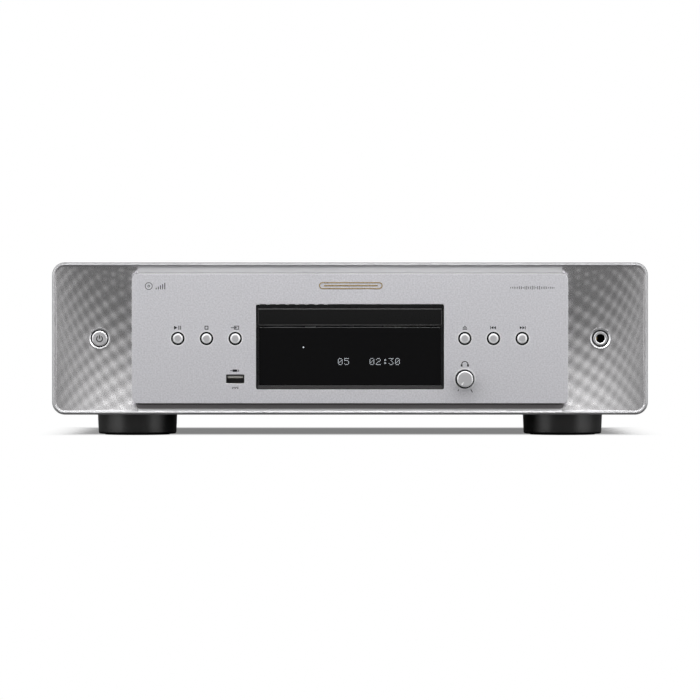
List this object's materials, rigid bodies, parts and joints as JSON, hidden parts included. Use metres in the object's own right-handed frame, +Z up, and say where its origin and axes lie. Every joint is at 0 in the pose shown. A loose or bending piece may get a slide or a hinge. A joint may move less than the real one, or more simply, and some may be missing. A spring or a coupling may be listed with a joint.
{
  "type": "cd player",
  "caption": "Full-width hi-fi disc player with a raised metal front plate, dished side wings, motor-driven disc tray, dark display window, push buttons and level knob",
  "frame": {"origin": "middle of the footprint, on the surface that the foot pads stand on", "axes": "+X to the right of someone facing the front panel, +Y from the front to the back, +Z up"},
  "size_m": [0.442, 0.379, 0.129],
  "materials": {
    "case_paint": "satin silver-grey paint with a fine grain",
    "zinc_sheet": "plain zinc-plated sheet",
    "rear_paint": "matt dark paint",
    "frame_silver": "satin silver",
    "wing_silver": "satin silver with a woven relief",
    "plate_silver": "bead-blasted, silver anodised",
    "knob_silver": "turned and silver anodised",
    "ring_silver": "polished",
    "window_black": "gloss black",
    "lens_smoke": "gloss smoked",
    "door_black": "satin black",
    "display_glass": "dark filter glass",
    "board_green": "solder mask",
    "black_plastic": "moulded",
    "grey_plastic": "moulded",
    "gear_white": "moulded acetal",
    "belt_rubber": "ground",
    "foot_black": "satin black",
    "pad_felt": "soft",
    "screw_steel": "zinc",
    "usb_steel": "dark nickel",
    "usb_insert": "moulded, pale grey",
    "motor_steel": "plated",
    "copper_winding": "tape-wound",
    "capacitor_sleeve": "shrink sleeve",
    "socket_gold": "gold plated",
    "socket_insert": "moulded"
  },
  "bodies": {
    "root": {"bottom_pan": "zinc_sheet", "rear_panel": "rear_paint", "top_cover": "case_paint", "front_subpanel": "zinc_sheet", "front_frame": "frame_silver", "wing_panels": "wing_silver", "centre_plate": "plate_silver", "window_bezel": "window_black", "display_lens": "lens_smoke", "display_module": "display_glass", "front_board": "board_green", "button_switches": "black_plastic", "power_ring": "ring_silver", "jack_ring": "ring_silver", "phones_jack": "grey_plastic", "power_switch": "board_green", "usb_shell": "usb_steel", "usb_tongue": "usb_insert", "level_pot": "grey_plastic", "feet": "foot_black", "foot_pads": "pad_felt", "foot_screws": "screw_steel", "machine_screws": "screw_steel", "main_board": "board_green", "supply_board": "board_green", "transformer": "copper_winding", "transformer_bolt": "screw_steel", "supply_capacitors": "capacitor_sleeve", "ac_inlet": "black_plastic", "inlet_pins": "motor_steel", "rca_block": "socket_insert", "rca_shells": "socket_gold", "optical_socket": "black_plastic", "loader_frame": "grey_plastic", "loader_brackets": "zinc_sheet", "clamp_bridge": "zinc_sheet", "drive_belt": "belt_rubber", "loading_motor": "motor_steel"},
    "tray": {"tray": "grey_plastic", "tray_door": "door_black"},
    "drive_gear": {"drive_gear": "gear_white"},
    "pulley_gear": {"pulley_gear": "gear_white"},
    "motor_pulley": {"motor_pulley": "gear_white"},
    "clamp_puck": {"clamp_puck": "black_plastic"},
    "traverse": {"traverse_deck": "zinc_sheet", "spindle_motor": "motor_steel", "sled_motor": "motor_steel"},
    "turntable": {"turntable": "grey_plastic"},
    "pickup_sled": {"pickup_sled": "black_plastic"},
    "sled_pinion": {"sled_pinion": "gear_white"},
    "level_knob": {"level_knob": "knob_silver", "level_shaft": "motor_steel"},
    "optical_shutter": {"optical_shutter": "grey_plastic"},
    "power_button": {"power_button": "knob_silver"},
    "button_play": {"button_play": "knob_silver"},
    "button_stop": {"button_stop": "knob_silver"},
    "button_input": {"button_input": "knob_silver"},
    "button_eject": {"button_eject": "knob_silver"},
    "button_previous": {"button_previous": "knob_silver"},
    "button_next": {"button_next": "knob_silver"}
  },
  "joints": [
    {"name": "tray_slide", "type": "slide", "parent": "root", "child": "tray", "axis": [0, -1, 0], "range_m": [0, 0.135]},
    {"name": "drive_gear_spin", "type": "hinge", "parent": "root", "child": "drive_gear", "pos_m": [0.05, -0.1388, 0.081], "axis": [0, 0, 1], "range_deg": [-780, 0]},
    {"name": "pulley_gear_spin", "type": "hinge", "parent": "root", "child": "pulley_gear", "pos_m": [0.033, -0.1388, 0.081], "axis": [0, 0, 1], "range_deg": [0, 1110]},
    {"name": "motor_pulley_spin", "type": "hinge", "parent": "root", "child": "motor_pulley", "pos_m": [-0.005, -0.1388, 0.081], "axis": [0, 0, 1], "range_deg": [0, 3330]},
    {"name": "traverse_tilt", "type": "hinge", "parent": "root", "child": "traverse", "pos_m": [0, -0.0133, 0.072], "axis": [1, 0, 0], "range_deg": [0, 6]},
    {"name": "disc_spin", "type": "hinge", "parent": "traverse", "child": "turntable", "pos_m": [0, -0.1053, 0.086], "axis": [0, 0, 1], "continuous": true},
    {"name": "clamp_spin", "type": "hinge", "parent": "root", "child": "clamp_puck", "pos_m": [0, -0.1053, 0.092], "axis": [0, 0, 1], "continuous": true},
    {"name": "pickup_slide", "type": "slide", "parent": "traverse", "child": "pickup_sled", "axis": [0, 1, 0], "range_m": [0, 0.034]},
    {"name": "sled_pinion_spin", "type": "hinge", "parent": "traverse", "child": "sled_pinion", "pos_m": [0.042, -0.0593, 0.078], "axis": [0, 0, 1], "range_deg": [-490, 0]},
    {"name": "level_turn", "type": "hinge", "parent": "root", "child": "level_knob", "pos_m": [0.085, -0.185, 0.0425], "axis": [0, 1, 0], "range_deg": [0, 300]},
    {"name": "shutter_swing", "type": "hinge", "parent": "root", "child": "optical_shutter", "pos_m": [0.106, 0.181, 0.0506], "axis": [-1, 0, 0], "range_deg": [0, 80], "stiffness_Nm_per_rad": 0.0006, "springref_deg": -17.19},
    {"name": "power_push", "type": "slide", "parent": "root", "child": "power_button", "axis": [0, 1, 0], "range_m": [0, 0.0008], "stiffness_N_per_m": 400, "springref_m": -0.002},
    {"name": "play_push", "type": "slide", "parent": "root", "child": "button_play", "axis": [0, 1, 0], "range_m": [0, 0.0008], "stiffness_N_per_m": 400, "springref_m": -0.002},
    {"name": "stop_push", "type": "slide", "parent": "root", "child": "button_stop", "axis": [0, 1, 0], "range_m": [0, 0.0008], "stiffness_N_per_m": 400, "springref_m": -0.002},
    {"name": "input_push", "type": "slide", "parent": "root", "child": "button_input", "axis": [0, 1, 0], "range_m": [0, 0.0008], "stiffness_N_per_m": 400, "springref_m": -0.002},
    {"name": "eject_push", "type": "slide", "parent": "root", "child": "button_eject", "axis": [0, 1, 0], "range_m": [0, 0.0008], "stiffness_N_per_m": 400, "springref_m": -0.002},
    {"name": "previous_push", "type": "slide", "parent": "root", "child": "button_previous", "axis": [0, 1, 0], "range_m": [0, 0.0008], "stiffness_N_per_m": 400, "springref_m": -0.002},
    {"name": "next_push", "type": "slide", "parent": "root", "child": "button_next", "axis": [0, 1, 0], "range_m": [0, 0.0008], "stiffness_N_per_m": 400, "springref_m": -0.002}
  ],
  "couplings": [
    {"joint": "drive_gear_spin", "follows": "tray_slide", "rad_per_m": -100},
    {"joint": "pulley_gear_spin", "follows": "tray_slide", "rad_per_m": 142.86},
    {"joint": "motor_pulley_spin", "follows": "tray_slide", "rad_per_m": 428.57},
    {"joint": "clamp_spin", "follows": "disc_spin", "ratio": 1},
    {"joint": "sled_pinion_spin", "follows": "pickup_slide", "rad_per_m": -250}
  ]
}
